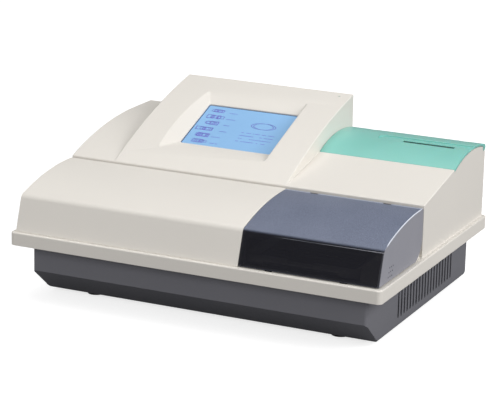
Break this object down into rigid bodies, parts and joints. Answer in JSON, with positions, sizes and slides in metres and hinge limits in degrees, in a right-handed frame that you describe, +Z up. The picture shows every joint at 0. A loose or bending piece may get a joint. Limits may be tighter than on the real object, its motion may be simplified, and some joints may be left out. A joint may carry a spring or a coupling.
{
  "type": "microplate reader",
  "caption": "Bench microplate reader: smoked hinged lid over a sliding plate carrier, sloping console with touch screen, hinged cover over a roll printer.",
  "frame": {"origin": "on the bench under the middle of the case's rim, which is the middle of the bounding box", "axes": "+X to the right as the user faces it and along the width, +Y to the back, +Z up"},
  "size_m": [0.45, 0.335, 0.207],
  "materials": {
    "cream_plastic": "fine matte moulding",
    "grey_plastic": "matte painted moulding",
    "smoked_plastic": "dark smoked acrylic",
    "teal_plastic": "satin teal moulding",
    "black_plastic": "matte black",
    "rubber": "matte",
    "steel": "brushed",
    "chrome": "ground and polished",
    "aluminium": "milled",
    "black_aluminium": "black anodised",
    "bronze": "sintered",
    "screen_glass": "backlit touch glass",
    "optical_glass": "polished",
    "filter_glass": "coated",
    "board": "solder mask",
    "paper": "thermal paper",
    "clear_guide": "black jacket",
    "lamp_glass": "clear bulb on a ceramic base",
    "lamp_lens": "small green lens"
  },
  "bodies": {
    "instrument": {"top_housing": "cream_plastic", "base_tray": "grey_plastic", "rubber_feet": "rubber", "case_screws": "steel", "optics_cover": "cream_plastic", "lid_hinge_brackets": "black_plastic", "lid_hinge_pins": "steel", "lid_bumpers": "rubber", "bay_liner": "black_plastic", "bay_end_cover": "cream_plastic", "chassis_plate": "steel", "chassis_screws": "steel", "left_bracket": "aluminium", "right_bracket": "aluminium", "guide_rods": "chrome", "screw_bearing": "bronze", "carriage_motor": "black_plastic", "home_sensor": "black_plastic", "optics_arm": "black_aluminium", "lenses": "optical_glass", "detector_block": "black_aluminium", "photodiodes": "optical_glass", "filter_motor": "steel", "filter_holder": "aluminium", "light_guide": "clear_guide", "lamp_housing": "aluminium", "lamp_bulb": "lamp_glass", "touch_panel": "screen_glass", "display_module": "black_plastic", "display_frame": "steel", "power_lamp": "lamp_lens", "main_board": "board", "power_supply": "board", "fan_frame": "black_plastic", "connector_panel": "steel", "power_inlet": "black_plastic", "power_switch": "black_plastic", "serial_port": "steel", "usb_port": "steel", "printer_frame": "black_plastic", "paper_spindle": "black_plastic", "thermal_head": "aluminium", "printer_motor": "black_plastic", "cover_hinge_pins": "steel"},
    "lid": {"lid": "smoked_plastic"},
    "carriage": {"plate_carrier": "aluminium", "plate_clip": "steel", "slide_bushes": "bronze", "drive_nut": "bronze"},
    "lead_screw": {"motor_shaft": "steel", "shaft_coupler": "aluminium", "lead_screw": "steel"},
    "filter_wheel": {"filter_wheel": "black_aluminium", "filters": "filter_glass"},
    "fan_rotor": {"fan_rotor": "black_plastic"},
    "printer_cover": {"printer_cover": "teal_plastic"},
    "platen_roller": {"platen_roller": "rubber"},
    "paper_roll": {"paper_roll": "paper"},
    "power_rocker": {"power_rocker": "black_plastic"}
  },
  "joints": [
    {"name": "lid_hinge", "type": "hinge", "parent": "instrument", "child": "lid", "pos_m": [0.13825, -0.0395, 0.135], "axis": [-1, 0, 0], "range_deg": [0, 95]},
    {"name": "carriage_slide", "type": "slide", "parent": "instrument", "child": "carriage", "axis": [-1, 0, 0], "range_m": [0, 0.1825]},
    {"name": "screw_spin", "type": "hinge", "parent": "instrument", "child": "lead_screw", "pos_m": [0, -0.054, 0.058], "axis": [1, 0, 0], "continuous": true},
    {"name": "filter_wheel_spin", "type": "hinge", "parent": "instrument", "child": "filter_wheel", "pos_m": [0.05, 0.01, 0.06], "axis": [1, 0, 0], "continuous": true},
    {"name": "fan_spin", "type": "hinge", "parent": "instrument", "child": "fan_rotor", "pos_m": [0.19, 0.07, 0.038], "axis": [1, 0, 0], "continuous": true},
    {"name": "printer_cover_hinge", "type": "hinge", "parent": "instrument", "child": "printer_cover", "pos_m": [0.1375, 0.1595, 0.16316], "axis": [-1, 0, 0], "range_deg": [0, 85]},
    {"name": "platen_spin", "type": "hinge", "parent": "instrument", "child": "platen_roller", "pos_m": [0.1685, 0.118, 0.157], "axis": [-1, 0, 0], "continuous": true},
    {"name": "paper_roll_spin", "type": "hinge", "parent": "instrument", "child": "paper_roll", "pos_m": [0.1685, 0.092, 0.121], "axis": [1, 0, 0], "continuous": true},
    {"name": "power_rocker_tilt", "type": "hinge", "parent": "instrument", "child": "power_rocker", "pos_m": [0.08, 0.16, 0.036], "axis": [1, 0, 0], "range_deg": [0, 16]}
  ],
  "couplings": [
    {"joint": "screw_spin", "follows": "carriage_slide", "rad_per_m": 785.4},
    {"joint": "paper_roll_spin", "follows": "platen_spin", "ratio": 0.22917}
  ]
}
